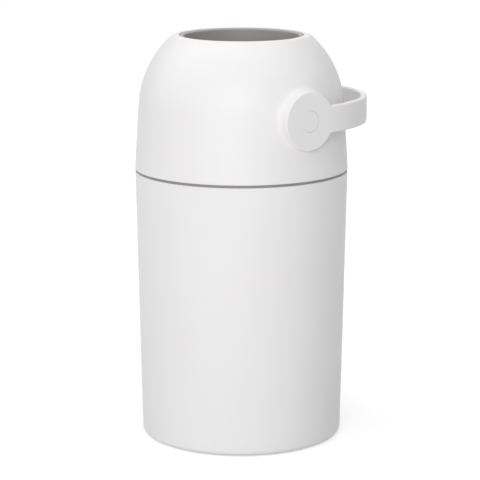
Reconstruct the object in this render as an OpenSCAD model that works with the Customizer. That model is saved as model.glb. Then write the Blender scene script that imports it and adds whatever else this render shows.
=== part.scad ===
// Nappy bin: a tall round bin with a domed head that lifts off. A rolled nappy is dropped into
// the inlet on top. Swinging the handle over to the other side turns the drum in the head upside
// down, and the loose weighted piston slides down the drum and pushes the nappy into the bag.
//
// Millimetres, +Z up. The origin is the centre of the base, on the floor. The handle's axis lies
// along Y, its front end plate faces -Y, and its grip rests on the +X side.

/* [Bin] */
// Outer radius of the body at the joint between bin and head
body_r = 125; // [122:0.5:132]
// How much narrower the bin is at the floor than at its rim
foot_in = 6.5; // [3:0.1:12]
// Height of the bin's rim
bin_h = 316; // [240:1:400]
// Thickness of the bin's wall
bin_wall = 2.5; // [1.8:0.1:3.5]
// Thickness of the bin's floor
bin_floor = 3; // [2.6:0.1:5]
// Rounding round the bin's lower edge
foot_round = 6; // [4.5:0.5:10]
// How far the bin's rim stands inside the head's lower edge
rim_setback = 0.3; // [0:0.1:0.6]
// Rounding of the two edges at the joint
rim_round = 0.8; // [0.3:0.1:1]
// Width of the flat floor between the foot ring and the slope to the raised middle
dish_in = 9; // [4:0.5:20]
// Height of the raised middle of the floor
dish_h = 4; // [2:0.5:7]

/* [Foot ring] */
// Distance from the bin's outside at the floor to the middle of the rubber foot ring
foot_ring_in = 18.2; // [16:0.1:22]
// Width of the foot ring
foot_ring_w = 10; // [6:0.5:12]
// How far the foot ring stands below the bin
foot_proud = 1; // [0.5:0.1:2]
// How deep the foot ring sits in the floor
foot_sink = 1.5; // [1:0.1:2]

/* [Bag ring] */
// Height of the grey band that shows between bin and head
ring_h = 3.2; // [2.4:0.1:6]
// How far the band is set back from the head's lower edge
ring_setback = 1.7; // [1:0.1:2.2]
// Depth of the skirt that hangs into the bin
ring_skirt_h = 19; // [16:1:40]
// Thickness of the skirt
ring_wall = 2; // [1.5:0.1:3]
// Gap between the skirt and the bin's wall
ring_gap = 0.5; // [0.3:0.1:1]

/* [Head shell] */
// Height of the head from its lower edge to its flat top
head_h = 155.6; // [150:0.1:175]
// Height of the head's straight side
side_h = 75.5; // [60:0.5:85]
// How much narrower the head is where its straight side ends and the dome begins
waist_in = 5; // [3.5:0.5:8]
// Thickness of the head's wall
head_wall = 2.8; // [2:0.1:3.6]
// Rounding between the dome and the flat top
top_round = 5.9; // [4.5:0.1:9]
// Width of the flat top round the mouth
top_land = 5; // [4:0.1:8]
// Radius of the flare where an end plate's pad meets the dome
pad_flare = 12; // [8:0.5:14]

/* [Inlet] */
// Radius of the inlet below its bevel
inlet_r = 66.8; // [66:0.1:70]
// Width of the bevel round the inlet
bevel_w = 5.8; // [4:0.1:8]
// Depth of the bevel
bevel_h = 2; // [1:0.1:3]
// How far the bevel's outer edge lies under the flat top
bevel_drop = 0.3; // [0:0.1:0.8]
// Thickness of the inlet's wall
collar_wall = 2.5; // [2:0.1:4]
// Width of the ledge under the flat top
ledge_w = 3.8; // [2:0.1:5]
// Thickness of the ledge
ledge_t = 2.5; // [1.5:0.1:4]

/* [Drum] */
// Radius of the drum's ball
drum_r = 84; // [81:0.5:86]
// Radius of the drum's bore
bore_r = 66; // [62:0.5:67]
// Thickness of the sleeve that lines the bore
sleeve_t = 2; // [1.5:0.1:3]
// Thickness of the ball's half shells
drum_wall = 2.5; // [1.8:0.1:3.5]
// Least width of the end faces
end_land = 1.6; // [1:0.1:2.5]
// How far an end ring's lip reaches into the bore
lip_w = 2; // [1:0.1:3]

/* [Piston] */
// Height of the piston
piston_h = 28; // [20:1:40]
// Gap between the piston's caps and the bore
piston_gap = 0.8; // [0.4:0.1:1.5]
// Thickness of the caps
piston_wall = 2.5; // [1.5:0.1:3.5]
// Depth of the dish in the piston's two faces
piston_dish = 1.2; // [0:0.1:1.4]
// Height of the seal round the piston
piston_seal_h = 3; // [2:0.5:6]
// Gap between the seal and the bore
piston_seal_gap = 0.4; // [0.3:0.1:0.6]
// Radius of the weight
weight_r = 50; // [30:1:55]
// Thickness of the weight
weight_h = 8; // [3:1:12]
// Free play left at the end of the piston's travel
piston_play = 0.5; // [0.3:0.1:2]

/* [Housing] */
// Height of the drum's axis above the head's lower edge
pivot_h = 68.6; // [66:0.2:72]
// Gap between the drum and its housing
drum_gap = 1; // [0.6:0.1:2]
// Thickness of the housing's wall
housing_wall = 2.5; // [2:0.1:4]
// Width of the flanges that hold the two halves together
flange_w = 9.5; // [9:0.1:12]
// Thickness of those flanges
flange_t = 3; // [2:0.1:5]
// Radius of the outlet below the drum
outlet_r = 72; // [68:0.5:76]
// Thickness of the outlet's wall
chute_wall = 2.2; // [1.6:0.1:3.5]
// How far the outlet reaches below the drum
chute_below = 3.5; // [2:0.5:8]
// Thickness of the deck that closes the head's underside
deck_t = 3; // [2:0.1:5]
// Gap between the deck and the head's wall
deck_gap = 0.2; // [0.1:0.1:0.5]
// Depth of the skirt that plugs into the bag ring
plug_h = 14; // [10:0.5:15]
// Thickness of that skirt
plug_wall = 2.5; // [2:0.1:4]
// Gap between that skirt and the bag ring, for the bag's film
plug_gap = 0.6; // [0.4:0.1:1.2]
// Number of stiffening ribs on the deck
rib_n = 6; // [3:1:6]
// Thickness of a rib
rib_t = 2.4; // [1.5:0.1:4]
// Height of a rib
rib_h = 16; // [6:1:20]

/* [Seals] */
// Width of the wiping seals in the housing, as an angle round the drum
wiper_angle = 3; // [2:0.5:4]
// How deep a wiping seal sits in the housing
wiper_sink = 1.2; // [0.8:0.1:1.6]
// Gap between a wiping seal and the drum
wiper_gap = 0.3; // [0.3:0.05:0.5]
// Height of the gasket round the plug skirt
gasket_h = 4; // [3:0.5:6]
// Depth of the gasket's groove
gasket_sink = 1.2; // [0.8:0.1:1.4]
// Gap between the gasket and the bag ring
gasket_gap = 0.3; // [0.2:0.05:0.35]

/* [Bearings] */
// Radius of the drum's two trunnions
trunnion_r = 11; // [9:0.5:12]
// Running clearance of a trunnion in its bush
bush_fit = 0.05; // [0.02:0.01:0.1]
// Thickness of a bush
bush_wall = 2.5; // [2:0.1:2.8]
// Width of a bush's flange
bush_flange_w = 1.1; // [0.5:0.1:1.2]
// Thickness of a bush's flange
bush_flange_t = 1.2; // [0.8:0.1:2]
// How far a bush stands back from the housing's hollow
bush_back = 0.5; // [0.2:0.1:2]
// Outer radius of the bearing blocks
bearing_r = 21; // [20.5:0.5:24]

/* [Handle] */
// Distance from the handle's axis to the centre of the grip's half circle
arm_l = 24.6; // [20:0.2:40]
// Height of the handle's band
band_h = 31; // [24:0.5:36]
// Thickness of the handle's band
band_t = 7.5; // [6:0.1:9]
// Rounding of the band's edges
band_round = 2; // [1:0.1:2.8]
// Radius of the handle's round end plates
plate_r = 34.1; // [30:0.1:38]
// Thickness of the end plates
plate_t = 4; // [3.5:0.1:6]
// Gap between an end plate's lower edge and the head
plate_gap = 0.9; // [0.6:0.1:3]
// Gap between an end plate and its pad on the head
pad_gap = 0.4; // [0.3:0.1:0.5]
// Fillet where the band meets an end plate
arm_fillet = 5; // [3:0.5:8]
// Radius of the hubs that pass through the head
hub_r = 19; // [18.5:0.5:22]
// Length of a hub behind its end plate
hub_l = 19; // [17:0.5:21]
// Gap round a hub in the head's wall
hub_gap = 0.8; // [0.4:0.1:1.5]
// Gap between a hub and its bush
hub_end_gap = 0.4; // [0.3:0.1:1]
// Length of the square key on a trunnion
key_l = 12; // [8:0.5:13]
// Width of the square key
key_w = 14; // [10:0.5:14.5]
// Clearance of the key in the hub
key_gap = 0.15; // [0.05:0.05:0.3]

/* [Hub plugs] */
// Radius of the plug that covers a handle screw
plug_r = 12; // [8:0.5:14]
// Thickness of the plug
plug_t = 2.5; // [2:0.1:3.5]
// Joint round the plug
plug_joint = 0.2; // [0.1:0.05:0.4]
// Rounding of the plug's edge
plug_round = 0.5; // [0.2:0.1:1]

/* [Stop] */
// Distance of the stop lug from the handle's axis
stop_at = 17; // [16.9:0.05:17.2]
// Radius of the stop lug
stop_r = 1.6; // [1:0.1:1.7]
// Gap round the stop lug in its groove
stop_gap = 0.4; // [0.3:0.05:0.5]
// How far the lug reaches into the bearing block
stop_l = 2.8; // [2:0.1:4]

/* [Screws] */
// Radius of the screws in the housing and the deck
screw_r = 1.75; // [1.5:0.05:2]
// Radius of their heads
screw_head_r = 3.4; // [2.8:0.1:3.8]
// Height of their heads
screw_head_h = 2.4; // [1.5:0.1:3]
// Clearance round every screw
screw_gap = 0.1; // [0.05:0.05:0.2]
// Length of the screws that hold the housing together
housing_screw_l = 14; // [10:1:20]
// Number of the screws that hold the housing together
housing_screw_n = 6; // [4:2:6]
// Length of the screws that hold the deck to the head shell
deck_screw_l = 18; // [12:1:24]
// Number of the screws that hold the deck to the head shell
deck_screw_n = 4; // [4:1:4]
// Distance of the deck screws from the body's radius
deck_screw_in = 17; // [14:0.5:20]
// Radius of the screw bosses
boss_r = 4.2; // [3.6:0.1:5]
// Extra length of a boss past its screw
boss_past = 3; // [1:0.5:6]
// Thickness of the web that ties a boss to the head's wall
web_t = 2.4; // [1.5:0.1:4]
// Radius of the two handle screws
handle_screw_r = 2; // [1.5:0.1:2.5]
// Radius of their heads
handle_head_r = 4; // [3.2:0.1:5]
// Height of their heads
handle_head_h = 3.2; // [2:0.1:3.6]
// Depth of the handle screws' thread in the trunnions
handle_thread_l = 16; // [10:1:20]

/* [Hidden] */
$fn = 128;
eps = 0.01;
over = 1; // how far a cut runs past the surface that it opens
shell_white = "#f3f2f1";
trim_grey = "#97989a";
inner_grey = "#b9babc";
rubber_grey = "#55575a";
bush_cream = "#ded9c8";
steel = "#a9adb2";
arc_steps = 6; // flat steps in a small rounding
dome_steps = 26; // flat steps in the dome's long curve

// Heights
base_z = foot_proud;
head_z = bin_h + ring_h;
top_z = head_z + head_h;
waist_z = head_z + side_h;
pivot_z = head_z + pivot_h;

// Bin: a straight cone from the floor to the rim
bin_rim_r = body_r - rim_setback;
foot_r = bin_rim_r - foot_in;
foot_ring_r = foot_r - foot_ring_in;
dish_r = foot_ring_r - foot_ring_w / 2 - dish_in - dish_h;
bin_lean = atan((bin_rim_r - foot_r) / bin_h);
function bin_side_r(z) = foot_r + (bin_rim_r - foot_r) * z / bin_h;
foot_c = [bin_side_r(base_z + foot_round) - foot_round / cos(bin_lean), base_z + foot_round];
bin_in = bin_wall / cos(bin_lean);
inner_round = foot_round - bin_wall;

// Bag ring
ring_r = body_r - ring_setback;
ring_skirt_r = bin_side_r(bin_h - ring_skirt_h) - bin_in - ring_gap;
ring_in_r = ring_skirt_r - ring_wall;

// Head: a straight side, then one long curve that is tangent to it, then the rounding of the top
mouth_r = inlet_r + bevel_w + plug_joint;
side_lean = atan(waist_in / side_h);
function side_r(z) = body_r - (z - head_z) * tan(side_lean);
side_n = [cos(side_lean), sin(side_lean)];
waist_p = [body_r - waist_in, waist_z];
shoulder_c = [mouth_r + top_land, top_z - top_round];
chord = shoulder_c - waist_p;
dome_curve = (chord * chord - top_round ^ 2) / (-2 * (chord * side_n + top_round));
dome_c = waist_p - dome_curve * side_n;
shoulder_a = atan2(shoulder_c[1] - dome_c[1], shoulder_c[0] - dome_c[0]);

// Drum and piston
lip_r = bore_r - lip_w;
sleeve_r = bore_r + sleeve_t;
sleeve_half = sqrt(drum_r ^ 2 - (sleeve_r + end_land) ^ 2);
end_half = sqrt(drum_r ^ 2 - (lip_r + end_land) ^ 2);
cap_r = bore_r - piston_gap;
piston_z = pivot_z - sleeve_half;
seal_z = piston_z + (piston_h - piston_seal_h) / 2;
spigot_t = 2; // thickness of the spigot that joins the piston's caps
spigot_gap = 0.5; // gap between the spigot and the upper cap
spigot_r = cap_r - piston_wall - spigot_gap;
piston_travel = 2 * sleeve_half - piston_h - piston_play;

// Housing
housing_r = drum_r + drum_gap;
housing_out_r = housing_r + housing_wall;
flange_r = housing_out_r + flange_w;
collar_r = inlet_r + collar_wall;
throat_r = lip_r + drum_gap;
throat_h = sqrt(housing_r ^ 2 - throat_r ^ 2);
bevel_z = top_z - bevel_drop - bevel_h;
chute_z = pivot_z - drum_r - chute_below;
skirt_r = ring_in_r - plug_gap;
deck_r = side_r(head_z + deck_t) - head_wall / cos(side_lean) - deck_gap;
upper_wiper_a = acos(throat_r / housing_r) - 2 * wiper_angle;
lower_wiper_a = acos(outlet_r / housing_r) - 2 * wiper_angle;
gasket_z = head_z - (plug_h + gasket_h) / 2;
screw_shift = 1; // how far the housing's screws stand outside the middle of the flange
housing_screw_at = housing_out_r + flange_w / 2 + screw_shift;
deck_screw_at = body_r - deck_screw_in;

// Bearings, handle and stop, all measured outward from the drum's centre along the handle's axis
plate_in = side_r(pivot_z - plate_r) + plate_gap;
plate_out = plate_in + plate_t;
pad_out = plate_in - pad_gap;
pad_r = plate_r + pad_gap;
hub_in = plate_in - hub_l;
bearing_end = hub_in - hub_end_gap - bush_flange_t;
bush_r = trunnion_r + bush_fit + bush_wall;
bush_in = housing_r + bush_back;
plug_in = plate_out - plug_t;
seat_gap = 0.4; // gap round the head of a handle screw
screw_in = plug_in - handle_head_h - seat_gap;
key_end = hub_in + key_l;
root_r = trunnion_r + 2 * drum_wall;
relief_gap = 1.6; // how far the band stands back from the rim of the pad
relief_r = pad_r + relief_gap;
stop_a = asin((stop_r + stop_gap) / stop_at);
band_mid_r = plate_out - band_t / 2;

// Points of a round stretch of outline, from angle a0 to a1; first = 1 leaves out the first point
function arc(c, r, a0, a1, n = arc_steps, first = 0) =
    [for (i = [first:n]) c + r * [cos(a0 + (a1 - a0) * i / n), sin(a0 + (a1 - a0) * i / n)]];

// The head's outline, inset by t, from height z0 up to the middle of its top
function head_outline(t, edge) = concat(
    [[0, edge[0][1]]],
    edge,
    arc(dome_c, dome_curve - t, side_lean, shoulder_a, dome_steps),
    arc(shoulder_c, top_round - t, shoulder_a, 90, arc_steps, 1),
    [[0, top_z - t]]
);

// The outline of an end plate's pad, inset by t: a flat face with a hollow flare round it
flare_a = 60;
flare_run = 8;
pad_depth = 30;
function pad_outline(t) =
    let (
        c = [pad_r + pad_flare, pad_out],
        r = pad_flare + t,
        curve = arc(c, r, 180 + asin(t / r), 180 + flare_a, arc_steps - 1),
        foot = curve[len(curve) - 1] + flare_run * [sin(flare_a), -cos(flare_a)]
    )
    concat(
        [[0, pad_out - t]],
        curve,
        [foot, [foot[0], pad_out - pad_depth], [0, pad_out - pad_depth]]
    );

// A rectangle with round corners, centred on the origin
function round_rect(w, h, r) = concat(
    arc([w / 2 - r, h / 2 - r], r, 0, 90, arc_steps - 2),
    arc([-w / 2 + r, h / 2 - r], r, 90, 180, arc_steps - 2),
    arc([-w / 2 + r, -h / 2 + r], r, 180, 270, arc_steps - 2),
    arc([w / 2 - r, -h / 2 + r], r, 270, 360, arc_steps - 2)
);

// Puts what is drawn along +Z from the drum's centre onto the front end of the handle's axis
module at_front() {
    translate([0, 0, pivot_z]) rotate([90, 0, 0]) children();
}

module at_back() {
    mirror([0, 1, 0]) at_front() children();
}

module at_both_ends() {
    at_front() children();
    at_back() children();
}

// Copies what is drawn at radius r round the body's axis, n times
module ring_of(n, r, first = 0) {
    for (i = [0:n - 1])
        rotate([0, 0, first + i * 360 / n]) translate([r, 0, 0]) children();
}

module tube(r_in, r_out, z0, z1) {
    translate([0, 0, z0]) difference() {
        cylinder(r = r_out, h = z1 - z0);
        translate([0, 0, -over]) cylinder(r = r_in, h = z1 - z0 + 2 * over);
    }
}

module upper_space() {
    translate([0, 0, pivot_z + top_z / 2]) cube([3 * body_r, 3 * body_r, top_z], center = true);
}

module lower_space() {
    translate([0, 0, pivot_z - top_z / 2]) cube([3 * body_r, 3 * body_r, top_z], center = true);
}

module ball(r) {
    translate([0, 0, pivot_z]) sphere(r = r);
}

// ---- Bin ----

module bin_shell() {
    floor_z = base_z + bin_floor;
    color(shell_white) difference() {
        rotate_extrude() polygon(concat(
            [[0, base_z + dish_h], [dish_r, base_z + dish_h], [dish_r + dish_h, base_z]],
            arc(foot_c, foot_round, -90, -bin_lean),
            arc([bin_rim_r - rim_round, bin_h - rim_round], rim_round, 0, 90, arc_steps - 2),
            [[bin_rim_r - bin_in, bin_h]],
            arc([foot_c[0], floor_z + inner_round], inner_round, -bin_lean, -90),
            [[dish_r + dish_h, floor_z], [dish_r, floor_z + dish_h], [0, floor_z + dish_h]]
        ));
        tube(foot_ring_r - foot_ring_w / 2, foot_ring_r + foot_ring_w / 2,
            base_z - over, base_z + foot_sink);
    }
}

module foot_ring() {
    half = foot_ring_w / 2 - screw_gap;
    color(rubber_grey) tube(foot_ring_r - half, foot_ring_r + half, 0, base_z + foot_sink);
}

// ---- Bag ring ----

module bag_ring() {
    color(trim_grey) rotate_extrude() polygon([
        [ring_in_r, bin_h - ring_skirt_h],
        [ring_skirt_r, bin_h - ring_skirt_h],
        [ring_skirt_r, bin_h],
        [ring_r, bin_h],
        [ring_r, head_z],
        [ring_in_r, head_z]
    ]);
}

// ---- Head ----

module head_outer() {
    rotate_extrude() polygon(head_outline(0,
        arc([body_r - rim_round, head_z + rim_round], rim_round, -90, 0, arc_steps - 2)));
}

module head_inner(t) {
    low_z = head_z - over;
    rotate_extrude() polygon(head_outline(t, [[side_r(low_z) - t / cos(side_lean), low_z]]));
}

module pad(t) {
    rotate_extrude() polygon(pad_outline(t));
}

module deck_boss() {
    z0 = head_z + deck_t;
    len = deck_screw_l + boss_past - deck_t;
    intersection() {
        ring_of(deck_screw_n, deck_screw_at, 180 / deck_screw_n) translate([0, 0, z0]) {
            cylinder(r = boss_r, h = len);
            translate([0, -web_t / 2, 0]) cube([deck_screw_in, web_t, len]);
        }
        head_inner(head_wall / 2);
    }
}

module head_shell() {
    color(shell_white) difference() {
        union() {
            difference() {
                union() {
                    head_outer();
                    at_both_ends() pad(0);
                }
                head_inner(head_wall);
                at_both_ends() pad(head_wall);
            }
            deck_boss();
        }
        translate([0, 0, top_z - top_round - over]) cylinder(r = mouth_r, h = top_round + 2 * over);
        at_both_ends() translate([0, 0, hub_in]) cylinder(r = hub_r + hub_gap, h = pad_out);
        ring_of(deck_screw_n, deck_screw_at, 180 / deck_screw_n)
            translate([0, 0, head_z]) cylinder(r = screw_r + screw_gap, h = deck_screw_l + over);
    }
}

// What both halves of the housing lose to the drum, its bushes, the hubs and the stop lug
module bearing_cuts() {
    ball(housing_r);
    at_both_ends() {
        cylinder(r = bush_r + screw_gap, h = bearing_end + over);
        translate([0, 0, bearing_end]) cylinder(r = bearing_r + over, h = flange_r);
        translate([0, 0, bearing_end - stop_l - stop_gap]) rotate([0, 0, 180 - stop_a])
            rotate_extrude(angle = 180 + 2 * stop_a)
                translate([stop_at - stop_r - stop_gap, 0])
                    square([2 * (stop_r + stop_gap), stop_l + stop_gap + over]);
    }
}

module bearing_blocks() {
    at_both_ends() translate([0, 0, housing_r - over])
        cylinder(r = bearing_r, h = bearing_end - housing_r + over);
}

module wiper(a, t_in, t_out) {
    translate([0, 0, pivot_z]) rotate_extrude() polygon(concat(
        arc([0, 0], drum_r + t_in, a, a + wiper_angle, 2),
        arc([0, 0], housing_r + t_out, a + wiper_angle, a, 2)
    ));
}

// The inlet's hollow: a tapered throat down to the drum, and the bevel round its mouth
module inlet_cut() {
    rotate_extrude() polygon([
        [0, pivot_z + throat_h - over],
        [throat_r, pivot_z + throat_h - over],
        [inlet_r, bevel_z],
        [mouth_r - plug_joint, bevel_z + bevel_h],
        [mouth_r - plug_joint, top_z + housing_out_r],
        [0, top_z + housing_out_r]
    ]);
}

module upper_housing() {
    screw_top = housing_screw_l - flange_t + boss_past;
    color(trim_grey) difference() {
        union() {
            intersection() {
                union() {
                    ball(housing_out_r);
                    bearing_blocks();
                }
                upper_space();
            }
            translate([0, 0, pivot_z]) cylinder(r = flange_r, h = flange_t);
            translate([0, 0, pivot_z]) cylinder(r = collar_r, h = bevel_z - pivot_z);
            translate([0, 0, top_z - head_wall - ledge_t]) cylinder(r = mouth_r + ledge_w, h = ledge_t);
            translate([0, 0, top_z - head_wall - ledge_t])
                cylinder(r = mouth_r - plug_joint, h = head_wall + ledge_t - bevel_drop);
            ring_of(housing_screw_n, housing_screw_at)
                translate([0, 0, pivot_z]) cylinder(r = boss_r, h = screw_top);
        }
        bearing_cuts();
        inlet_cut();
        wiper(upper_wiper_a, 0, wiper_sink);
        ring_of(housing_screw_n, housing_screw_at)
            translate([0, 0, pivot_z - over]) cylinder(r = screw_r + screw_gap, h = screw_top);
    }
}

module lower_housing() {
    color(trim_grey) difference() {
        union() {
            intersection() {
                union() {
                    ball(housing_out_r);
                    bearing_blocks();
                }
                lower_space();
            }
            translate([0, 0, pivot_z - flange_t]) cylinder(r = flange_r, h = flange_t);
            translate([0, 0, chute_z]) cylinder(r = outlet_r + chute_wall, h = pivot_z - chute_z);
            translate([0, 0, head_z]) cylinder(r = deck_r, h = deck_t);
            tube(skirt_r - plug_wall, skirt_r, head_z - plug_h, head_z + deck_t / 2);
            ring_of(rib_n, outlet_r) translate([0, -rib_t / 2, head_z])
                cube([skirt_r - plug_wall - outlet_r, rib_t, deck_t + rib_h]);
        }
        bearing_cuts();
        translate([0, 0, chute_z - over]) cylinder(r = outlet_r, h = pivot_z - chute_z);
        wiper(-lower_wiper_a - wiper_angle, 0, wiper_sink);
        tube(skirt_r - gasket_sink, skirt_r + over, gasket_z, gasket_z + gasket_h);
        ring_of(housing_screw_n, housing_screw_at)
            translate([0, 0, pivot_z - flange_t - over])
                cylinder(r = screw_r + screw_gap, h = flange_t + 2 * over);
        ring_of(deck_screw_n, deck_screw_at, 180 / deck_screw_n)
            translate([0, 0, head_z - over]) cylinder(r = screw_r + screw_gap, h = deck_t + 2 * over);
    }
}

module upper_wiper_seal() {
    color(rubber_grey) wiper(upper_wiper_a, wiper_gap, wiper_sink - screw_gap);
}

module lower_wiper_seal() {
    color(rubber_grey) wiper(-lower_wiper_a - wiper_angle, wiper_gap, wiper_sink - screw_gap);
}

module head_gasket() {
    color(rubber_grey) tube(skirt_r - gasket_sink, ring_in_r - gasket_gap,
        gasket_z + screw_gap, gasket_z + gasket_h - screw_gap);
}

module bush() {
    difference() {
        union() {
            translate([0, 0, bush_in]) cylinder(r = bush_r, h = bearing_end - bush_in);
            translate([0, 0, bearing_end]) cylinder(r = bush_r + bush_flange_w, h = bush_flange_t);
        }
        cylinder(r = trunnion_r + bush_fit, h = hub_in);
    }
}

module front_bush() {
    color(bush_cream) at_front() bush();
}

module back_bush() {
    color(bush_cream) at_back() bush();
}

module screw(r, l, head_r, head_h) {
    cylinder(r = r, h = l);
    translate([0, 0, -head_h]) difference() {
        cylinder(r = head_r, h = head_h);
        translate([0, 0, -over]) cylinder(r = r, h = head_h / 2 + over, $fn = 6);
    }
}

module housing_screws() {
    color(steel) ring_of(housing_screw_n, housing_screw_at)
        translate([0, 0, pivot_z - flange_t])
            screw(screw_r, housing_screw_l, screw_head_r, screw_head_h);
}

module deck_screws() {
    color(steel) ring_of(deck_screw_n, deck_screw_at, 180 / deck_screw_n)
        translate([0, 0, head_z]) screw(screw_r, deck_screw_l, screw_head_r, screw_head_h);
}

// ---- Handle ----

module band_section() {
    polygon(round_rect(band_t, band_h, band_round));
}

// Fills one corner between the band and an end plate with a hollow fillet
module arm_corner() {
    cz = band_h / 2 + arm_fillet;
    cx = sqrt((plate_r + arm_fillet) ^ 2 - cz ^ 2);
    translate([0, 0, plate_in]) linear_extrude(plate_t - band_round / 2) difference() {
        polygon([[0, 0], [cx, band_h / 2 - band_round], [cx, cz]]);
        translate([cx, cz]) circle(r = arm_fillet);
    }
}

module handle_end() {
    difference() {
        union() {
            rotate_extrude() polygon(concat(
                [[0, plate_in], [plate_r, plate_in]],
                arc([plate_r - band_round, plate_out - band_round], band_round, 0, 90),
                [[0, plate_out]]
            ));
            translate([0, 0, hub_in]) cylinder(r = hub_r, h = plate_in - hub_in + over);
            arm_corner();
            mirror([0, 1, 0]) arm_corner();
        }
        translate([0, 0, plug_in]) cylinder(r = plug_r + plug_joint, h = plug_t + over);
        translate([0, 0, screw_in]) cylinder(r = handle_head_r + seat_gap, h = plate_t + plug_t);
        translate([0, 0, key_end]) cylinder(r = handle_screw_r + screw_gap, h = plate_out - key_end);
        translate([0, 0, hub_in + key_l / 2])
            cube([key_w + 2 * key_gap, key_w + 2 * key_gap, key_l + 2 * key_gap], center = true);
    }
}

module stop_lug() {
    rotate([0, 0, 180]) translate([stop_at, 0, bearing_end - stop_l])
        cylinder(r = stop_r, h = hub_in - bearing_end + stop_l + over);
}

module handle() {
    color(shell_white) {
        difference() {
            translate([0, 0, pivot_z]) {
                translate([arm_l, 0, 0]) rotate([0, 0, -90]) rotate_extrude(angle = 180)
                    translate([band_mid_r, 0]) band_section();
                for (side = [-1, 1])
                    translate([0, side * band_mid_r, 0]) rotate([90, 0, 90])
                        linear_extrude(arm_l) band_section();
            }
            at_both_ends() cylinder(r = relief_r, h = plate_in);
            at_both_ends() cylinder(r = plug_r + plug_joint, h = plate_out + over);
        }
        at_both_ends() handle_end();
        at_both_ends() stop_lug();
    }
}

module hub_plug() {
    rotate_extrude() polygon(concat(
        [[0, plug_in + eps], [plug_r, plug_in + eps]],
        arc([plug_r - plug_round, plate_out - plug_round], plug_round, 0, 90, arc_steps - 2),
        [[0, plate_out]]
    ));
}

module front_hub_plug() {
    color(shell_white) at_front() hub_plug();
}

module back_hub_plug() {
    color(shell_white) at_back() hub_plug();
}

module handle_screws() {
    color(steel) at_both_ends() translate([0, 0, screw_in]) mirror([0, 0, 1])
        screw(handle_screw_r, screw_in - key_end + handle_thread_l, handle_head_r, handle_head_h);
}

// ---- Drum ----

module drum_sleeve() {
    color(inner_grey) tube(bore_r, sleeve_r, pivot_z - sleeve_half, pivot_z + sleeve_half);
}

// Half of the ball round the sleeve, with its trunnion and the square key that turns with the hub
module drum_half() {
    difference() {
        union() {
            intersection() {
                difference() {
                    sphere(r = drum_r);
                    sphere(r = drum_r - drum_wall);
                }
                translate([0, 0, drum_r])
                    cube([2 * body_r, 2 * sleeve_half, 2 * drum_r], center = true);
            }
            intersection() {
                cylinder(r = root_r, h = drum_r);
                sphere(r = drum_r - drum_wall / 2);
            }
            cylinder(r = trunnion_r, h = hub_in);
            translate([0, 0, hub_in + key_l / 2 - over])
                cube([key_w, key_w, key_l], center = true);
        }
        rotate([90, 0, 0]) cylinder(r = sleeve_r + screw_gap, h = 2 * drum_r, center = true);
        translate([0, 0, key_end - handle_thread_l - over])
            cylinder(r = handle_screw_r + screw_gap, h = handle_thread_l + 2 * over);
    }
}

module drum_front_shell() {
    color(inner_grey) at_front() drum_half();
}

module drum_back_shell() {
    color(inner_grey) at_back() drum_half();
}

// A ring that clips the half shells together and stops the piston with its lip
module end_ring() {
    difference() {
        intersection() {
            sphere(r = drum_r);
            translate([0, 0, sleeve_half]) cylinder(r = drum_r, h = end_half - sleeve_half);
        }
        cylinder(r = lip_r, h = drum_r);
    }
}

module drum_upper_ring() {
    color(inner_grey) translate([0, 0, pivot_z]) end_ring();
}

module drum_lower_ring() {
    color(inner_grey) translate([0, 0, pivot_z]) mirror([0, 0, 1]) end_ring();
}

// ---- Piston ----

// A cap with a dished face, drawn with its face at z = 0 and its open side up
module piston_cap(spigot) {
    wall_h = (piston_h - piston_seal_h) / 2;
    difference() {
        cylinder(r = cap_r, h = wall_h);
        translate([0, 0, piston_wall]) cylinder(r = cap_r - piston_wall, h = wall_h);
        translate([0, 0, -eps])
            cylinder(r1 = cap_r - 2 * piston_wall, r2 = weight_r, h = piston_dish + eps);
    }
    if (spigot)
        tube(spigot_r - spigot_t, spigot_r, piston_wall - eps, wall_h + piston_seal_h + spigot_t);
}

module piston_upper_cap() {
    color(inner_grey) translate([0, 0, piston_z + piston_h]) mirror([0, 0, 1]) piston_cap(false);
}

module piston_lower_cap() {
    color(inner_grey) translate([0, 0, piston_z]) piston_cap(true);
}

module piston_weight() {
    color(steel) translate([0, 0, piston_z + piston_wall]) cylinder(r = weight_r, h = weight_h);
}

module piston_seal() {
    color(rubber_grey)
        tube(spigot_r + screw_gap, bore_r - piston_seal_gap, seal_z, seal_z + piston_seal_h);
}

bin_shell();
foot_ring();
bag_ring();
head_shell();
upper_housing();
lower_housing();
upper_wiper_seal();
lower_wiper_seal();
head_gasket();
front_bush();
back_bush();
housing_screws();
deck_screws();
handle();
front_hub_plug();
back_hub_plug();
handle_screws();
drum_sleeve();
drum_front_shell();
drum_back_shell();
drum_upper_ring();
drum_lower_ring();
piston_upper_cap();
piston_lower_cap();
piston_weight();
piston_seal();
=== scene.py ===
from math import asin, atan, atan2, ceil, cos, hypot, pi, radians, sin, sqrt, tan

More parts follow.
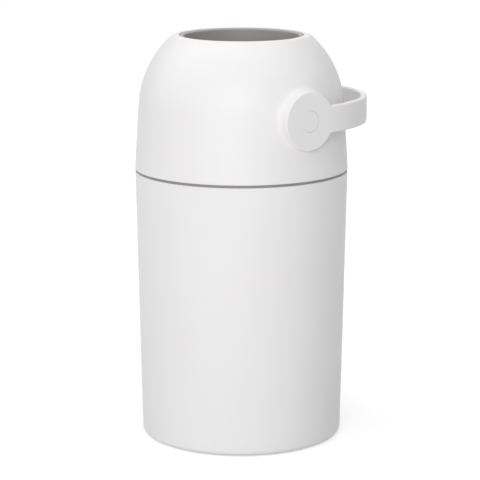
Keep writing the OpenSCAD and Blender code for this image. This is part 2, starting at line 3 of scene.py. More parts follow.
import bpy
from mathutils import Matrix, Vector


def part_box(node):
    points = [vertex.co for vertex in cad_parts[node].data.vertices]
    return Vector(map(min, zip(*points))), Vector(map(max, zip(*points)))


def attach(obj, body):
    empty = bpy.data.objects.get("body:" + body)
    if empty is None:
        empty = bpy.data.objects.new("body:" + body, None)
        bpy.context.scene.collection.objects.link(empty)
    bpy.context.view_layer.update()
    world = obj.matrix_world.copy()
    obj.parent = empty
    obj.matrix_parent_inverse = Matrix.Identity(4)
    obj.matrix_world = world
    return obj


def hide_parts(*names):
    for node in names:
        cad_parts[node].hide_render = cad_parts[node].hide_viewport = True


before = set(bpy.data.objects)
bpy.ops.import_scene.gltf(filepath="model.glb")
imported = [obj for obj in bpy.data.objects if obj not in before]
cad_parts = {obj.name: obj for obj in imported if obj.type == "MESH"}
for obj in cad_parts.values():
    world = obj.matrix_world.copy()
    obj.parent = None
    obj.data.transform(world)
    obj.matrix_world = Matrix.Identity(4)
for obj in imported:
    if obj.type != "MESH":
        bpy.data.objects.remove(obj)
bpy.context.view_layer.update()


# ---- Camera ----
# A long lens looks down on the bin from its front left. The bin's axis stands a little to the
# right of the middle of the picture.
view_turn = radians(-37.45)
view_tilt = radians(11.96)
view_distance = 2.4248
view_height = 0.7445
lens_mm = 157.06
picture_width = 480
axis_right_of_middle = 1.4  # pixels

bpy.ops.object.select_all(action="DESELECT")
bpy.ops.object.camera_add(
    location=(sin(view_turn) * view_distance, -cos(view_turn) * view_distance, view_height),
    rotation=(pi / 2 - view_tilt, 0, view_turn))
camera = bpy.context.object
camera.data.lens = lens_mm
camera.data.shift_x = -axis_right_of_middle / picture_width
camera.data.clip_end = 40  # metres, past the far end of the floor
scene = bpy.context.scene
scene.camera = camera
scene.view_settings.view_transform = "Standard"


# ---- Studio light ----
# Large soft lamps round the bin: two low ones in front that give most of the light, one overhead,
# and weak ones for the sides and the back. The world adds a little light from all round.
world_light = 0.12
aim_z = 0.25  # the height on the bin that the lamps look at
lamps = (  # name, turn from the camera and height in degrees, distance, size, power
    ("front", 0, 20, 2.6, 1.6, 28),
    ("front_left", -30, 10, 2.6, 1.6, 12),
    ("left", -90, 25, 2.4, 1.6, 7),
    ("right", 60, 55, 2.4, 1.6, 7),
    ("back_left", -110, 50, 2.4, 1.6, 9.5),
    ("back_right", 110, 50, 2.4, 1.6, 5),
    ("back", 180, 50, 2.4, 1.6, 6),
    ("overhead", 0, 88, 2.2, 1.8, 11.5),
)

for name, turn, height, distance, size, power in lamps:
    turn, height = view_turn + radians(turn), radians(height)
    level = cos(height) * distance
    bpy.ops.object.light_add(
        type="AREA", radius=size,
        location=(sin(turn) * level, -cos(turn) * level, aim_z + sin(height) * distance),
        rotation=(pi / 2 - height, 0, turn))
    lamp = bpy.context.object
    lamp.name = "lamp_" + name
    lamp.data.energy = power


def add_node(tree, kind, inputs=None, **settings):
    """Adds a node of that kind, sets or links its inputs by name, and sets what else it has."""
    made = tree.nodes.new(kind)
    for name, value in settings.items():
        setattr(made, name, value)
    for name, value in (inputs or {}).items():
        if isinstance(value, bpy.types.NodeSocket):
            tree.links.new(value, made.inputs[name])
        else:
            made.inputs[name].default_value = value
    return made


def seen_directly(tree):
    """1 where the camera, a reflection or something clear looks at the surface, and otherwise 0."""
    path = add_node(tree, "ShaderNodeLightPath")
    either = add_node(tree, "ShaderNodeMath", {0: path.outputs["Is Camera Ray"],
                      1: path.outputs["Is Glossy Ray"]}, operation="MAXIMUM")
    return add_node(tree, "ShaderNodeMath", {0: either.outputs[0],
                    1: path.outputs["Is Transmission Ray"]}, operation="MAXIMUM").outputs[0]


scene.world = bpy.data.worlds.new("studio")
scene.world.use_nodes = True
tree = scene.world.node_tree
tree.nodes.clear()
strength = add_node(tree, "ShaderNodeMapRange", {
    "Value": seen_directly(tree), "To Min": world_light, "To Max": 1.0})
background = add_node(tree, "ShaderNodeBackground", {
    "Color": (1, 1, 1, 1), "Strength": strength.outputs[0]})
add_node(tree, "ShaderNodeOutputWorld", {"Surface": background.outputs[0]})


# ---- Floor ----
# A pale floor that the camera sees as plain white, apart from the bin's soft shadow. The lamps
# light it less further out, so what lifts it to white grows with the distance from the bin.
floor_size = 24
floor_colour = (0.75, 0.75, 0.75, 1)
lift_near, lift_far = 0.47, 0.92
near_r, far_r = 0.3, 1.8

bpy.ops.object.select_all(action="DESELECT")
bpy.ops.mesh.primitive_plane_add(size=floor_size)
floor = bpy.context.object
floor.name = "studio_floor"
pale_floor = bpy.data.materials.new("pale_floor")
pale_floor.use_nodes = True
tree = pale_floor.node_tree
tree.nodes.clear()
lit = add_node(tree, "ShaderNodeBsdfDiffuse", {"Color": floor_colour})
spot = add_node(tree, "ShaderNodeTexCoord").outputs["Object"]
away = add_node(tree, "ShaderNodeVectorMath", {0: spot}, operation="LENGTH").outputs["Value"]
lift = add_node(tree, "ShaderNodeMapRange", {
    "Value": away, "From Min": near_r, "From Max": far_r, "To Min": lift_near,
    "To Max": lift_far})
lifted = add_node(tree, "ShaderNodeMath", {0: lift.outputs[0], 1: seen_directly(tree)},
                  operation="MULTIPLY")
glow = add_node(tree, "ShaderNodeEmission", {"Color": (1, 1, 1, 1),
                "Strength": lifted.outputs[0]})
both = add_node(tree, "ShaderNodeAddShader", {0: lit.outputs[0], 1: glow.outputs[0]})
add_node(tree, "ShaderNodeOutputMaterial", {"Surface": both.outputs[0]})
floor.data.materials.append(pale_floor)


# ---- Bin ----
# The tall body is one injection moulding of white polypropylene with its floor. Its wall leans
# out a little to the rim, and the middle of the floor is raised so that only the edge stands.
bin_low, bin_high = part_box("bin_shell")
rim_r = bin_high.x
rim_z = bin_high.z
base_z = bin_low.z
body_widening = 0.0065
foot_r = rim_r - body_widening
bin_wall = 0.0025
bin_floor = 0.003
foot_round = 0.006
rim_round = 0.0008
foot_low, foot_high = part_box("foot_ring")
foot_ring_w = 0.0098
foot_gap = 0.0001
foot_groove_r = (foot_high.x - foot_ring_w - foot_gap, foot_high.x + foot_gap)
foot_groove_h = 0.0015
dish_r = 0.082
dish_h = 0.004


def arc(centre, radius, start, end, steps):
    """Points on a round stretch of outline, with the angles in degrees."""
    angles = [radians(start + (end - start) * i / steps) for i in range(steps + 1)]
    return [(centre[0] + radius * cos(a), centre[1] + radius * sin(a)) for a in angles]


def turned(name, outline, closed=True, steps=256):
    """A body turned round the Z axis from its outline of (radius, height) points. The outline
    runs back to its first point, or from axis to axis, unless closed is False."""
    bpy.ops.object.select_all(action="DESELECT")
    bpy.ops.mesh.primitive_plane_add(size=0.001)
    piece = bpy.context.object
    piece.name = piece.data.name = name
    bpy.context.tool_settings.mesh_select_mode = (True, False, False)
    bpy.ops.object.mode_set(mode="EDIT")
    bpy.ops.mesh.merge(type="CENTER")
    bpy.ops.transform.translate(value=(outline[0][0], 0, outline[0][1]))
    route = list(outline)
    if closed and outline[0][0] > 0:
        route.append(outline[0])
    for (r0, z0), (r1, z1) in zip(route, route[1:]):
        bpy.ops.mesh.extrude_region_move(
            TRANSFORM_OT_translate={"value": (r1 - r0, 0, z1 - z0)})
    bpy.ops.mesh.select_all(action="SELECT")
    bpy.ops.mesh.remove_doubles(threshold=1e-6)
    bpy.ops.mesh.spin(steps=steps, angle=2 * pi, center=(0, 0, 0), axis=(0, 0, 1))
    bpy.ops.mesh.select_all(action="SELECT")
    bpy.ops.mesh.remove_doubles(threshold=1e-6)
    bpy.ops.mesh.normals_make_consistent(inside=False)
    bpy.ops.object.mode_set(mode="OBJECT")
    return piece


def select_only(piece, *others):
    """Selects these pieces and no others, and makes the first one active."""
    bpy.ops.object.select_all(action="DESELECT")
    for chosen in (piece, *others):
        chosen.select_set(True)
    bpy.context.view_layer.objects.active = piece


def finish_edges(piece, rounding=0, segments=3, sharp=35, smooth=40):
    """Rounds the edges that are sharper than that angle in degrees, smooths the faces, and lets
    the large faces lead the shading."""
    select_only(piece)
    if rounding:
        bevel = piece.modifiers.new("rounded_edges", "BEVEL")
        bevel.width = rounding
        bevel.segments = segments
        bevel.limit_method = "ANGLE"
        bevel.angle_limit = radians(sharp)
        bpy.ops.object.modifier_apply(modifier=bevel.name)
    bpy.ops.object.shade_smooth_by_angle(angle=radians(smooth))
    weighted = piece.modifiers.new("face_weighted", "WEIGHTED_NORMAL")
    weighted.keep_sharp = True
    bpy.ops.object.modifier_apply(modifier=weighted.name)


def linear(colour):
    """An sRGB colour such as "f2f1f0" as linear values."""
    channels = [int(colour[i:i + 2], 16) / 255 for i in (0, 2, 4)]
    return [c / 12.92 if c < 0.04045 else ((c + 0.055) / 1.055) ** 2.4 for c in channels] + [1]


def moulded_plastic(name, colour, shade, roughness, grain, grain_depth):
    """Plastic as it comes from a mould with a fine eroded grain: colour and shade are the ends
    of a slow drift in its colour, and grain and its depth are real sizes in metres."""
    drift_size = 0.11
    gloss_patch = 0.03
    gloss_range = 0.04
    material = bpy.data.materials.new(name)
    material.use_nodes = True
    tree = material.node_tree
    tree.nodes.clear()
    place = add_node(tree, "ShaderNodeTexCoord").outputs["Object"]
    drift = add_node(tree, "ShaderNodeTexNoise", {
        "Vector": place, "Scale": 1 / drift_size, "Detail": 1.0, "Roughness": 0.4})
    tint = add_node(tree, "ShaderNodeMix", {
        "Factor": drift.outputs["Fac"], 6: linear(colour), 7: linear(shade)}, data_type="RGBA")
    satin = add_node(tree, "ShaderNodeTexNoise", {
        "Vector": place, "Scale": 1 / gloss_patch, "Detail": 2.0})
    gloss = add_node(tree, "ShaderNodeMapRange", {
        "Value": satin.outputs["Fac"], "To Min": roughness - gloss_range,
        "To Max": roughness + gloss_range})
    eroded = add_node(tree, "ShaderNodeTexNoise", {
        "Vector": place, "Scale": 1 / grain, "Detail": 2.0, "Roughness": 0.6})
    relief = add_node(tree, "ShaderNodeBump", {
        "Height": eroded.outputs["Fac"], "Distance": grain_depth, "Strength": 1.0})
    shader = add_node(tree, "ShaderNodeBsdfPrincipled", {
        "Base Color": tint.outputs[2], "Roughness": gloss.outputs[0], "IOR": 1.49,
        "Normal": relief.outputs[0]})
    add_node(tree, "ShaderNodeOutputMaterial", {"Surface": shader.outputs[0]})
    return material


# Polypropylene in a satin white. The grain of the mould is 0.1 mm across, and is drawn about ten
# times as coarse to show at all; what the eye gets from it is a broad, soft sheen.
white_satin = moulded_plastic("satin_white_polypropylene", "f2f1f1", "efeded", 0.42, 0.0011, 1e-5)

inner_lean = atan((rim_r - foot_r) / rim_z)
foot_centre = (foot_r - foot_round, base_z + foot_round)
inner_floor_z = base_z + bin_floor
inner_round = foot_round - bin_wall
inner_foot = (foot_centre[0], inner_floor_z + inner_round)
bin_body = turned("bin_body", [
    (0, base_z + dish_h),
    (dish_r, base_z + dish_h),
    (dish_r + dish_h, base_z),
    (foot_groove_r[0], base_z),
    (foot_groove_r[0], base_z + foot_groove_h),
    (foot_groove_r[1], base_z + foot_groove_h),
    (foot_groove_r[1], base_z),
    *arc(foot_centre, foot_round, -90, 0, 8),
    (rim_r, rim_z),
    (rim_r - bin_wall / cos(inner_lean), rim_z),
    *arc(inner_foot, inner_round, 0, -90, 6),
    (dish_r + dish_h, inner_floor_z),
    (dish_r, inner_floor_z + dish_h),
    (0, inner_floor_z + dish_h)])
finish_edges(bin_body, rim_round)
bin_body.data.materials.append(white_satin)
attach(bin_body, "bin")
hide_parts("bin_shell")


# ---- Foot ring ----
# A ring of soft rubber that is pressed into a groove under the bin's floor. It stands out 1 mm
# below the plastic, so that the bin doesn't slide.
foot_rubber = turned("foot_rubber", [
    (foot_high.x - foot_ring_w, foot_low.z),
    (foot_high.x, foot_low.z),
    (foot_high.x, foot_high.z),
    (foot_high.x - foot_ring_w, foot_high.z)])
finish_edges(foot_rubber, 0.0003)

# Moulded thermoplastic rubber: dull, dark grey, with a fine tooth that scatters what light it gets.
grey_rubber = moulded_plastic("matt_grey_rubber", "55575a", "4c4e51", 0.78, 0.0008, 2e-5)
foot_rubber.data.materials.append(grey_rubber)
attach(foot_rubber, "bin")
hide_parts("foot_ring")


# ---- Bag ring ----
# The grey ring lies on the bin's rim and shows as a line between bin and head. Its skirt hangs
# into the bin, and the bag's edge is folded over it.
ring_low, ring_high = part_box("bag_ring")
ring_skirt_r = 0.12130
ring_skirt_t = 0.002
bag_holder = turned("bag_holder", [
    (ring_skirt_r - ring_skirt_t, ring_low.z),
    (ring_skirt_r, ring_low.z),
    (ring_skirt_r, rim_z),
    (ring_high.x, rim_z),
    (ring_high.x, ring_high.z),
    (ring_skirt_r - ring_skirt_t, ring_high.z)])
finish_edges(bag_holder, 0.0004)

# Grey polypropylene painted darker than the inlet's, as painted shade for the joint's line of
# shadow.
grey_ring_painted_shade = moulded_plastic("grey_polypropylene_painted_darker_as_shade", "908f8d", "8b8a88", 0.5, 0.0011, 1.5e-5)
bag_holder.data.materials.append(grey_ring_painted_shade)
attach(bag_holder, "bag_ring")
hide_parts("bag_ring")


# ---- Head cover ----
# The white domed cover is one moulding: a side that leans in, a long curve that runs into the
# flat edge of the mouth, and on both sides a flat pad that the handle's end plate turns on.
head_low, head_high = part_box("head_shell")
body_r = -head_low.x
waist_r = 0.120
side_h = 0.0755
head_z = head_low.z
top_z = head_high.z
waist_z = head_z + side_h
pivot_z = head_z + 0.0686
mouth_r = 0.0728
top_land = 0.005
top_round = 0.0059
head_wall = 0.0028
row_h = 0.003

side_lean = atan((body_r - waist_r) / side_h)
shoulder = (mouth_r + top_land, top_z - top_round)
chord = (shoulder[0] - waist_r, shoulder[1] - waist_z)
across = chord[0] * cos(side_lean) + chord[1] * sin(side_lean)
dome_curve = (top_round ** 2 - chord[0] ** 2 - chord[1] ** 2) / (2 * (across + top_round))
dome_centre = (waist_r - dome_curve * cos(side_lean), waist_z - dome_curve * sin(side_lean))
shoulder_turn = atan2(shoulder[1] - dome_centre[1], shoulder[0] - dome_centre[0])


def head_radius(z):
    """The head's outer radius at a height on its side or its dome."""
    if z < waist_z:
        return body_r - (z - head_z) * tan(side_lean)
    return dome_centre[0] + sqrt(dome_curve ** 2 - (z - dome_centre[1]) ** 2)


side_rows = ceil(side_h / row_h)
dome_rows = ceil((shoulder_turn - side_lean) * dome_curve / row_h)
side = [(head_radius(head_z + side_h * i / side_rows), head_z + side_h * i / side_rows)
        for i in range(side_rows)]
dome = arc(dome_centre, dome_curve, side_lean * 180 / pi, shoulder_turn * 180 / pi, dome_rows)
top = arc(shoulder, top_round, shoulder_turn * 180 / pi, 90, 8)[1:]


def pick_faces(piece, test):
    """Selects the faces that pass a test, and nothing else, and leaves the piece in edit mode."""
    bpy.ops.object.mode_set(mode="OBJECT")
    mesh = piece.data
    mesh.vertices.foreach_set("select", [False] * len(mesh.vertices))
    mesh.edges.foreach_set("select", [False] * len(mesh.edges))
    for face in mesh.polygons:
        face.select = test(face)
    bpy.context.tool_settings.mesh_select_mode = (False, False, True)
    bpy.ops.object.mode_set(mode="EDIT")


def pick_open_edges(piece, test=lambda middle: True):
    """Selects the edges with fewer than two faces whose middle passes a test, in edit mode, and
    returns how many they are."""
    bpy.ops.object.mode_set(mode="OBJECT")
    mesh = piece.data
    mesh.vertices.foreach_set("select", [False] * len(mesh.vertices))
    mesh.polygons.foreach_set("select", [False] * len(mesh.polygons))
    faces = [0] * len(mesh.edges)
    for corner in mesh.loops:
        faces[corner.edge_index] += 1
    for edge in mesh.edges:
        ends = [mesh.vertices[i].co for i in edge.vertices]
        edge.select = faces[edge.index] < 2 and test((ends[0] + ends[1]) / 2)
    picked = sum(edge.select for edge in mesh.edges)
    bpy.context.tool_settings.mesh_select_mode = (False, True, False)
    bpy.ops.object.mode_set(mode="EDIT")
    return picked


head_cover = turned("head_cover", side + dome + top + [(mouth_r, top_z)], closed=False)

# The pads: a block of the skin is taken out, a ring is bridged to its edge, and more rings are
# drawn in from that to the flat face and the hole for the handle's hub.
plate_r = 0.0341
pad_gap = 0.00015
plate_clearance = 0.0009
plate_in = head_radius(pivot_z - plate_r) + plate_clearance
pad_out = plate_in - pad_gap
pad_r = plate_r + pad_gap
pad_flare = 0.012
hub_hole_r = 0.0198
pad_zone_r = 0.0475
block_turn = radians(25.4)
block_h = 0.051
block_reach = 0.01  # how far past the block its edge is looked for
block_slack = 0.003  # how far past the block the skin is drawn out
blend = 0.0045  # how softly the flare runs into the dome
blend_ratio = 1.2
flare_angles = [radians(a) for a in (60, 52, 45, 35, 25, 15, 0)]
flare_end = flare_angles[0]
flare_rings = [pad_r + pad_flare * (1 - cos(a)) for a in flare_angles]
pad_rings = [0.0455, 0.0435, 0.0420, *flare_rings, 0.0305, 0.026, hub_hole_r]


def in_block(point, sign, slack=0.0):
    """Whether a point of the skin lies in the block that a pad takes the place of."""
    turn = atan2(point.x, -sign * point.y)
    return abs(turn) < block_turn + slack and abs(point.z - pivot_z) < block_h + slack


def pad_height(r):
    """How far out the pad and its flare stand at a distance from the handle's axis."""
    if r <= pad_r:
        return pad_out
    if r < flare_rings[0]:
        return pad_out - sqrt(pad_flare ** 2 - (pad_r + pad_flare - r) ** 2)
    return pad_out - pad_flare * sin(flare_end) - (r - flare_rings[0]) / tan(flare_end)


def skin_height(x, z):
    """The skin over a pad: the dome and the pad's flare, run into each other."""
    dome_out = sqrt(head_radius(z) ** 2 - x ** 2)
    r = hypot(x, z - pivot_z)
    pad = pad_height(r)
    if r <= pad_r + 1e-6:
        return pad
    soft = min(blend, max(blend_ratio * (pad_out - dome_out), 1e-6))
    near = max(soft - abs(dome_out - pad), 0) / soft
    return max(dome_out, pad) + near ** 2 * soft / 4


for sign in (1, -1):
    centre = (0, -sign * head_radius(pivot_z), pivot_z)
    pick_faces(head_cover, lambda face: in_block(face.center, sign))
    bpy.ops.mesh.delete(type="FACE")
    around = pick_open_edges(head_cover, lambda middle: in_block(middle, sign, block_reach))
    bpy.ops.mesh.primitive_circle_add(
        vertices=around, radius=pad_zone_r, rotation=(pi / 2, 0, 0), location=centre)
    pick_open_edges(head_cover, lambda middle: in_block(middle, sign, block_reach))
    bpy.ops.mesh.bridge_edge_loops(number_cuts=4, interpolation="LINEAR")
    pick_open_edges(head_cover, lambda middle: in_block(middle, sign))
    radius = pad_zone_r
    for ring in pad_rings:
        bpy.ops.mesh.extrude_region_move()
        bpy.ops.transform.resize(
            value=(ring / radius, 1, ring / radius), center_override=centre)
        radius = ring
    bpy.ops.object.mode_set(mode="OBJECT")
    for vertex in head_cover.data.vertices:
        if in_block(vertex.co, sign, block_slack):
            vertex.co.y = -sign * skin_height(vertex.co.x, vertex.co.z)
bpy.ops.object.mode_set(mode="EDIT")
bpy.ops.mesh.select_all(action="SELECT")
bpy.ops.mesh.normals_make_consistent(inside=False)
bpy.ops.object.mode_set(mode="OBJECT")
wall = head_cover.modifiers.new("wall", "SOLIDIFY")
wall.thickness = head_wall
wall.offset = -1
wall.use_even_offset = True
bpy.ops.object.modifier_apply(modifier=wall.name)


def join(piece, others):
    """Makes the others a part of the piece."""
    select_only(piece, *others)
    bpy.ops.object.join()


# Four posts inside take the screws of the deck, each on a web that runs to the wall
post_r = 0.0042
post_inset = 0.017
post_at = body_r - post_inset
post_low = head_z + 0.003
post_high = head_z + 0.021
screw_hole_r = 0.00185
hole_end = 0.003  # what is left of a post past its hole
small_steps = 32
web_t = 0.0024
web_end = 0.1223
posts = []
for turn in (pi / 4, 3 * pi / 4, 5 * pi / 4, 7 * pi / 4):
    post = turned("post", [
        (0, post_high - hole_end), (screw_hole_r, post_high - hole_end),
        (screw_hole_r, post_low), (post_r, post_low), (post_r, post_high), (0, post_high)],
        steps=small_steps)
    post.location = (post_at * cos(turn), post_at * sin(turn), 0)
    web_start = post_at + post_r - web_t / 2
    middle = (web_start + web_end) / 2
    bpy.ops.object.select_all(action="DESELECT")
    bpy.ops.mesh.primitive_cube_add(
        size=1, rotation=(0, 0, turn), scale=(web_end - web_start, web_t, post_high - post_low),
        location=(middle * cos(turn), middle * sin(turn), (post_low + post_high) / 2))
    posts += [post, bpy.context.object]
join(head_cover, posts)
finish_edges(head_cover, 0.0004, sharp=55)
head_cover.data.materials.append(white_satin)
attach(head_cover, "head")
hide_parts("head_shell")


# ---- Inlet and upper housing ----
# The upper half of the drum's housing is a grey moulding. Its collar fills the head's mouth with
# a rounded bevel, and below the throat it widens to the hollow that the drum turns in. On both
# sides stands half a bearing block, and posts round the flange take the housing's screws.
mouth_joint = 0.0002
bevel_drop = 0.0003
bevel_h = 0.002
inlet_r = 0.0668
throat_r = 0.065
collar_r = 0.0693
hollow_r = 0.085
housing_r = 0.0875
flange_r = 0.097
flange_t = 0.003
ledge_w = 0.0038
ledge_t = 0.0025
collar_top_r = mouth_r - mouth_joint
bevel_w = collar_top_r - inlet_r
bevel_z = top_z - bevel_drop - bevel_h
bevel_steps = 8
bevel_angles = [pi / 2 * i / bevel_steps for i in range(bevel_steps + 1)]
throat_turn = atan2(sqrt(hollow_r ** 2 - throat_r ** 2), throat_r) * 180 / pi
collar_turn = atan2(sqrt(housing_r ** 2 - collar_r ** 2), collar_r) * 180 / pi
flange_turn = asin(flange_t / housing_r) * 180 / pi
pivot = (0, pivot_z)
inlet_collar = turned("inlet_collar", [
    *arc(pivot, hollow_r, 0, throat_turn, 16),
    *[(collar_top_r - bevel_w * cos(a), bevel_z + bevel_h * sin(a)) for a in bevel_angles],
    (collar_top_r, top_z - head_wall),
    (mouth_r + ledge_w, top_z - head_wall),
    (mouth_r + ledge_w, top_z - head_wall - ledge_t),
    (collar_r, top_z - head_wall - ledge_t),
    *arc(pivot, housing_r, collar_turn, flange_turn, 12),
    (flange_r, pivot_z + flange_t),
    (flange_r, pivot_z)])
finish_edges(inlet_collar, 0.0005)


def lay_on_axis(piece, sign):
    """Lays a piece that was turned round Z along the handle's axis, facing front or back."""
    select_only(piece)
    piece.rotation_euler = (sign * pi / 2, 0, 0)
    piece.location = (0, 0, pivot_z)
    bpy.ops.object.transform_apply(location=True, rotation=True, scale=False)


bearing_r = 0.021
bore_r = 0.01365
bore_end = flange_r + 0.01
bearing_start, bearing_end = 0.0849, 0.103
hub_steps = 96
bore = turned("bore", [(0, -bore_end), (bore_r, -bore_end), (bore_r, bore_end), (0, bore_end)],
              steps=hub_steps)
lay_on_axis(bore, 1)
select_only(inlet_collar)
passage = inlet_collar.modifiers.new("passage", "BOOLEAN")
passage.object = bore
passage.operation = "DIFFERENCE"
passage.solver = "EXACT"
bpy.ops.object.modifier_apply(modifier=passage.name)
bpy.data.objects.remove(bore)
fittings = []
for sign in (1, -1):
    block = turned("bearing_block", [
        (bore_r, bearing_start), (bearing_r, bearing_start),
        (bearing_r, bearing_end), (bore_r, bearing_end)], steps=hub_steps)
    lay_on_axis(block, sign)
    bpy.ops.object.mode_set(mode="EDIT")
    bpy.ops.mesh.select_all(action="SELECT")
    bpy.ops.mesh.bisect(plane_co=(0, 0, pivot_z), plane_no=(0, 0, 1), clear_inner=True,
                        use_fill=True)
    bpy.ops.object.mode_set(mode="OBJECT")
    fittings.append(block)
housing_posts = 6
post_proud = 0.00045  # how far the posts stand out past the flange
post_from_axis = flange_r - post_r + post_proud
post_end = pivot_z + 0.014
for i in range(housing_posts):
    turn = 2 * pi * i / housing_posts
    post = turned("post", [
        (0, post_end - hole_end), (screw_hole_r, post_end - hole_end), (screw_hole_r, pivot_z),
        (post_r, pivot_z), (post_r, post_end), (0, post_end)], steps=small_steps)
    post.location = (post_from_axis * cos(turn), post_from_axis * sin(turn), 0)
    fittings.append(post)
join(inlet_collar, fittings)
finish_edges(inlet_collar)

# Polypropylene in a middle grey, from a mould with a coarser grain, so it reads as matt.
grey_matt = moulded_plastic("matt_grey_polypropylene", "a09c9a", "9b9795", 0.44, 0.0011, 1.5e-5)
inlet_collar.data.materials.append(grey_matt)
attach(inlet_collar, "head")
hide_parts("upper_housing")


# ---- Handle ----
# The handle is one white moulding: a flat band, bent round in a half circle, that widens to a
# round plate at both ends. It is drawn flat, as a long strip with its edges rounded, and then
# each point is laid round the half circle.
handle_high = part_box("handle")[1]
plate_out = handle_high.y
band_h = 0.031
band_t = 0.0075
band_round = 0.002
plate_t = 0.004
arm_l = handle_high.x - plate_out
arm_fillet = 0.005
relief_r = 0.0361
relief_step = 0.0001
plug_hole_r = 0.0122
plug_depth = 0.0025
bend_step = 0.005
half_bend = plate_out * pi / 2
plate_s = half_bend + arm_l

fillet_z = band_h / 2 + arm_fillet
fillet_s = sqrt((plate_r + arm_fillet) ** 2 - fillet_z ** 2)
fillet_turn = atan2(fillet_z, fillet_s) * 180 / pi
quarter = [
    *arc((plate_s - fillet_s, fillet_z), arm_fillet, -90, -fillet_turn, 8),
    *arc((plate_s, 0), plate_r, 180 - fillet_turn, 0, 48)]
end = quarter + [(s, -z) for s, z in quarter[-2::-1]]
strip = end + [(-s, -z) for s, z in end]

bpy.ops.object.select_all(action="DESELECT")
bpy.ops.mesh.primitive_plane_add(size=0.001)
handle = bpy.context.object
handle.name = handle.data.name = "carry_handle"
bpy.context.tool_settings.mesh_select_mode = (True, False, False)
bpy.ops.object.mode_set(mode="EDIT")
bpy.ops.mesh.merge(type="CENTER")
bpy.ops.transform.translate(value=(strip[0][0], band_round, strip[0][1]))
for (s0, z0), (s1, z1) in zip(strip, strip[1:] + strip[:1]):
    bpy.ops.mesh.extrude_region_move(TRANSFORM_OT_translate={"value": (s1 - s0, 0, z1 - z0)})
bpy.ops.mesh.select_all(action="SELECT")
bpy.ops.mesh.remove_doubles(threshold=1e-6)
bpy.ops.mesh.edge_face_add()
bpy.ops.mesh.extrude_region_move(
    TRANSFORM_OT_translate={"value": (0, band_t - 2 * band_round, 0)})
bpy.ops.mesh.select_all(action="SELECT")
bpy.ops.mesh.normals_make_consistent(inside=False)
round_steps = 5
for facing in (-1, 1):
    pick_faces(handle, lambda face: face.normal.y * facing > 0.9)
    for i in range(round_steps):
        a0, a1 = (pi / 2 * (i + k) / round_steps for k in (0, 1))
        bpy.ops.mesh.inset(thickness=band_round * (cos(a0) - cos(a1)),
                           depth=band_round * (sin(a1) - sin(a0)))
    if facing == -1:
        # The outer face is filled again round the two recesses for the plugs
        bpy.ops.mesh.delete(type="ONLY_FACE")
        for place in (-plate_s, plate_s):
            bpy.ops.mesh.primitive_circle_add(
                vertices=hub_steps, radius=plug_hole_r, rotation=(pi / 2, 0, 0),
                location=(place, 0, 0))
        pick_open_edges(handle)
        bpy.ops.mesh.fill(use_beauty=False)
        for place in (-plate_s, plate_s):
            pick_open_edges(handle, lambda middle: middle.x * place > 0)
            bpy.ops.mesh.extrude_region_move(
                TRANSFORM_OT_translate={"value": (0, plug_depth, 0)})
            bpy.ops.mesh.edge_face_add()

# Past the relief, the strip is thinned to the plate. Cuts across it let it bend smoothly
relief_s = plate_s - relief_r
bends = ceil(2 * half_bend / bend_step)
cuts = [half_bend * (2 * i / bends - 1) for i in range(bends + 1)]
cuts += [-relief_s, relief_s, -relief_s - relief_step, relief_s + relief_step]
for cut in cuts:
    bpy.ops.mesh.select_all(action="SELECT")
    bpy.ops.mesh.bisect(plane_co=(cut, 0, 0), plane_no=(1, 0, 0))
bpy.ops.mesh.select_all(action="SELECT")
bpy.ops.mesh.remove_doubles(threshold=1e-6)
bpy.ops.mesh.normals_make_consistent(inside=False)
bpy.ops.object.mode_set(mode="OBJECT")
for vertex in handle.data.vertices:
    s, t, z = vertex.co
    if abs(s) > relief_s + relief_step / 2:
        t = min(t, plate_t)
    round_s = max(-half_bend, min(half_bend, s))
    a = round_s / plate_out
    past = abs(s) - abs(round_s)
    vertex.co = (arm_l + (plate_out - t) * cos(a) - past, (plate_out - t) * sin(a), pivot_z + z)


# Each end plate carries a hub that reaches through the head's wall to the drum
hub_r = 0.019
hub_l = 0.019
hub_in = plate_in - hub_l
hub_sink = 0.001
hubs = []
for sign in (1, -1):
    hub = turned("hub", [(0, hub_in), (hub_r, hub_in), (hub_r, plate_in + hub_sink),
                         (0, plate_in + hub_sink)], steps=hub_steps)
    lay_on_axis(hub, sign)
    hubs.append(hub)
join(handle, hubs)
finish_edges(handle)
handle.data.materials.clear()
handle.data.materials.append(white_satin)
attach(handle, "drum")
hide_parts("handle")


# ---- Hub plugs ----
# A flat round plug of the handle's plastic is pressed into a recess of each end plate, flush with
# its face, and covers the handle's screw.
plug_r = 0.012
plug_round = 0.0005
for sign, side_name in ((1, "front"), (-1, "back")):
    plug = turned(side_name + "_plug", [
        (0, plate_out - plug_depth),
        (plug_r, plate_out - plug_depth),
        *arc((plug_r - plug_round, plate_out - plug_round), plug_round, 0, 90, 4),
        (0, plate_out)], steps=hub_steps)
    lay_on_axis(plug, sign)
    finish_edges(plug)
    plug.data.materials.append(white_satin)
    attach(plug, "drum")
    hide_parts(side_name + "_hub_plug")


# ---- Lower housing ----
# The lower half of the housing is a grey moulding with the outlet, the deck that closes the
# head's underside, its ribs, and the skirt that plugs into the bag ring.


def merged_copy(node, name):
    """A copy of a CAD node whose triangles are joined, so that its round faces shade smoothly."""
    piece = bpy.data.objects.new(name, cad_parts[node].data.copy())
    piece.data.name = name
    piece.data.materials.clear()
    scene.collection.objects.link(piece)
    select_only(piece)
    bpy.ops.object.mode_set(mode="EDIT")
    bpy.ops.mesh.select_all(action="SELECT")
    bpy.ops.mesh.customdata_custom_splitnormals_clear()
    bpy.ops.mesh.remove_doubles(threshold=2e-6)
    bpy.ops.object.mode_set(mode="OBJECT")
    return piece


deck = merged_copy("lower_housing", "deck_moulding")
finish_edges(deck)
deck.data.materials.append(grey_matt)
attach(deck, "head")
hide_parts("lower_housing")


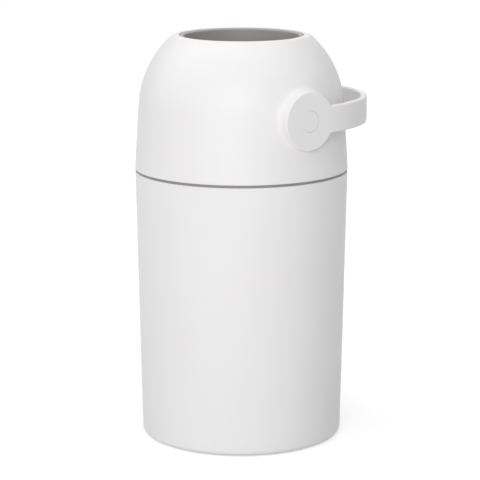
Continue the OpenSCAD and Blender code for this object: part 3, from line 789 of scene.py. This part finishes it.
# ---- Seals ----
# Rings of soft moulded rubber, each pressed into a groove: one in each half of the housing that
# wipes the drum, and a gasket round the skirt that plugs the bag ring.
for node, name in (("upper_wiper_seal", "upper_wiper"), ("lower_wiper_seal", "lower_wiper"),
                   ("head_gasket", "gasket")):
    seal = merged_copy(node, name)
    finish_edges(seal)
    seal.data.materials.append(grey_rubber)
    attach(seal, "head")
    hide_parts(node)


def repaint(node, material):
    """Gives a CAD node that keeps its own mesh a finished material."""
    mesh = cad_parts[node].data
    mesh.materials.clear()
    mesh.materials.append(material)


# ---- Bushes ----
# Two bushes of a self-lubricating plastic that the drum's trunnions turn in. Acetal is cream
# white, and it is smoother and a little glossier than the mouldings round it.
cream_acetal = moulded_plastic("cream_acetal", "ded9c8", "d8d2bf", 0.3, 0.0011, 6e-6)
for node in ("front_bush", "back_bush"):
    repaint(node, cream_acetal)


# ---- Screws ----
# Self-tapping screws of steel with a bright zinc plating, which shows as a fine grain of crystals
# that turn the light this way and that.
zinc_steel = bpy.data.materials.new("zinc_plated_steel")
zinc_steel.use_nodes = True
tree = zinc_steel.node_tree
tree.nodes.clear()
place = add_node(tree, "ShaderNodeTexCoord").outputs["Object"]
crystal_size = 0.0006
crystals = add_node(tree, "ShaderNodeTexVoronoi", {"Vector": place, "Scale": 1 / crystal_size})
bright = add_node(tree, "ShaderNodeMix", {
    "Factor": crystals.outputs["Distance"], 6: linear("b9bdc2"), 7: linear("9da1a7")},
    data_type="RGBA")
dull = add_node(tree, "ShaderNodeMapRange", {
    "Value": crystals.outputs["Distance"], "To Min": 0.26, "To Max": 0.4})
shader = add_node(tree, "ShaderNodeBsdfPrincipled", {
    "Base Color": bright.outputs[2], "Roughness": dull.outputs[0], "Metallic": 1.0})
add_node(tree, "ShaderNodeOutputMaterial", {"Surface": shader.outputs[0]})
for node in ("housing_screws", "deck_screws", "handle_screws", "piston_weight"):
    repaint(node, zinc_steel)


# ---- Drum ----
# The drum is a ball of two half shells round a straight sleeve. A ring at each end clips the
# halves together, and its lip keeps the piston in. It is all of a lighter grey than the housing.
sleeve_low, sleeve_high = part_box("drum_sleeve")
sleeve_r = sleeve_high.x
sleeve_t = 0.002
drum_r = 0.084
lip_r = 0.064

# Polypropylene in a light grey from a polished mould, so it is a little smoother than the rest
grey_satin = moulded_plastic("satin_grey_polypropylene", "b9babc", "b4b5b7", 0.4, 0.0011, 1e-5)

lining = turned("drum_lining", [
    (sleeve_r - sleeve_t, sleeve_low.z),
    (sleeve_r, sleeve_low.z),
    (sleeve_r, sleeve_high.z),
    (sleeve_r - sleeve_t, sleeve_high.z)])
finish_edges(lining, 0.0003)
ring_in = sleeve_high.z - pivot_z
ring_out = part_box("drum_upper_ring")[1].z - pivot_z
rim_turns = [asin(h / drum_r) * 180 / pi for h in (ring_in, ring_out)]
upper_ring = turned("upper_drum_ring", [
    (lip_r, sleeve_high.z),
    *arc(pivot, drum_r, *rim_turns, 4),
    (lip_r, pivot_z + ring_out)])
finish_edges(upper_ring, 0.0004, sharp=50)
lower_ring = turned("lower_drum_ring", [
    (lip_r, sleeve_low.z),
    *arc(pivot, drum_r, -rim_turns[0], -rim_turns[1], 4),
    (lip_r, pivot_z - ring_out)])
finish_edges(lower_ring, 0.0004, sharp=50)
front_shell = merged_copy("drum_front_shell", "front_drum_shell")
back_shell = merged_copy("drum_back_shell", "back_drum_shell")
for piece in (front_shell, back_shell):
    finish_edges(piece)
for piece, node in ((lining, "drum_sleeve"), (upper_ring, "drum_upper_ring"),
                    (lower_ring, "drum_lower_ring"), (front_shell, "drum_front_shell"),
                    (back_shell, "drum_back_shell")):
    piece.data.materials.append(grey_satin)
    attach(piece, "drum")
    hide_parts(node)


# ---- Piston ----
# A loose piston of two dished caps with a steel weight between them. It slides down the drum
# by its own weight, and a rubber ring round its middle wipes the bore.
for node, name, material, slot in (
        ("piston_upper_cap", "upper_piston_cap", grey_satin, "pale_plastic"),
        ("piston_lower_cap", "lower_piston_cap", grey_satin, "pale_plastic"),
        ("piston_seal", "piston_wiper", grey_rubber, "soft_rubber")):
    piece = merged_copy(node, name)
    finish_edges(piece)
    piece.data.materials.append(material)
    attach(piece, "piston")
    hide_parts(node)
